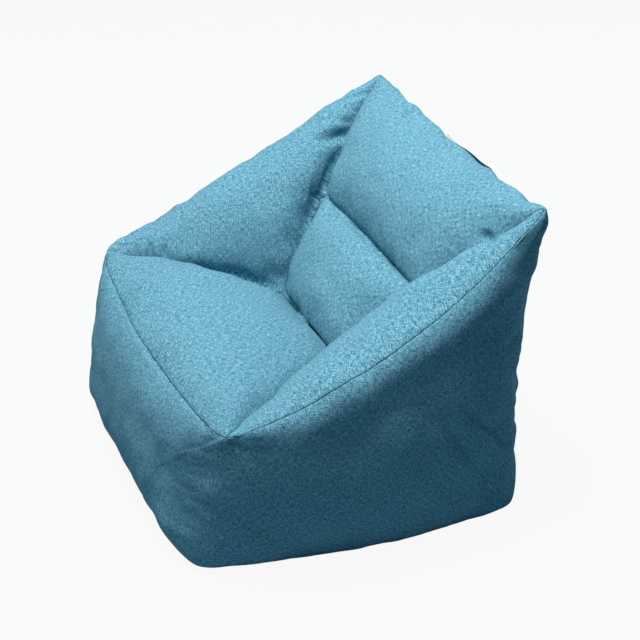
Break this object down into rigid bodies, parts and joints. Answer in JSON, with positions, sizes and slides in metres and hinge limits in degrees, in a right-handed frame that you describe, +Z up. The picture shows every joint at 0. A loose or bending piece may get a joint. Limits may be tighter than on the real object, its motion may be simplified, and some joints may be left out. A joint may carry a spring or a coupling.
{
  "type": "bean bag chair",
  "caption": "Fabric bean bag armchair with seat, two-part backrest, arms that rise to the back corners, bead-filled liner and zips.",
  "frame": {"origin": "on the floor, at the middle of the chair's width and between its front and rear", "axes": "+Z up, the seat faces -Y, +X is the sitter's left"},
  "size_m": [0.9716, 0.8166, 0.688],
  "materials": {
    "cover_fabric": "heathered plain weave",
    "webbing": "woven webbing",
    "zip_tape": "woven tape",
    "zip_teeth": "moulded acetal",
    "zip_metal": "lacquered zinc",
    "liner_fabric": "plain",
    "liner_zip": "woven tape and coil",
    "beads": "expanded beads"
  },
  "bodies": {
    "cover": {"front_panel": "cover_fabric", "rear_zip_strip": "cover_fabric", "rear_panel": "cover_fabric", "base_panel": "cover_fabric", "seat_panel": "cover_fabric", "lower_back_panel": "cover_fabric", "upper_back_panel": "cover_fabric", "left_side_panel": "cover_fabric", "right_side_panel": "cover_fabric", "left_arm_inner_panel": "cover_fabric", "right_arm_inner_panel": "cover_fabric", "carry_handle": "webbing", "zip_tape_upper": "zip_tape", "zip_tape_lower": "zip_tape", "zip_teeth_upper": "zip_teeth", "zip_teeth_lower": "zip_teeth", "zip_top_stops": "zip_metal", "zip_bottom_stop": "zip_metal", "inner_liner": "liner_fabric", "liner_zip_chain": "liner_zip", "bead_fill": "beads"},
    "zip_slider": {"zip_slider": "zip_metal"},
    "zip_pull": {"zip_pull": "zip_metal"},
    "liner_zip_slider": {"liner_zip_slider": "zip_metal"}
  },
  "joints": [
    {"name": "zip_slide", "type": "slide", "parent": "cover", "child": "zip_slider", "axis": [-1, 0, 0], "range_m": [0, 0.417], "deforming": ["zip_teeth_upper", "zip_teeth_lower"]},
    {"name": "zip_pull_flip", "type": "hinge", "parent": "zip_slider", "child": "zip_pull", "pos_m": [0.2073, 0.32, 0.05], "axis": [0, 0, 1], "range_deg": [0, 170]},
    {"name": "liner_zip_slide", "type": "slide", "parent": "cover", "child": "liner_zip_slider", "axis": [-1, 0, 0], "range_m": [0, 0.306], "deforming": ["liner_zip_chain"]}
  ]
}
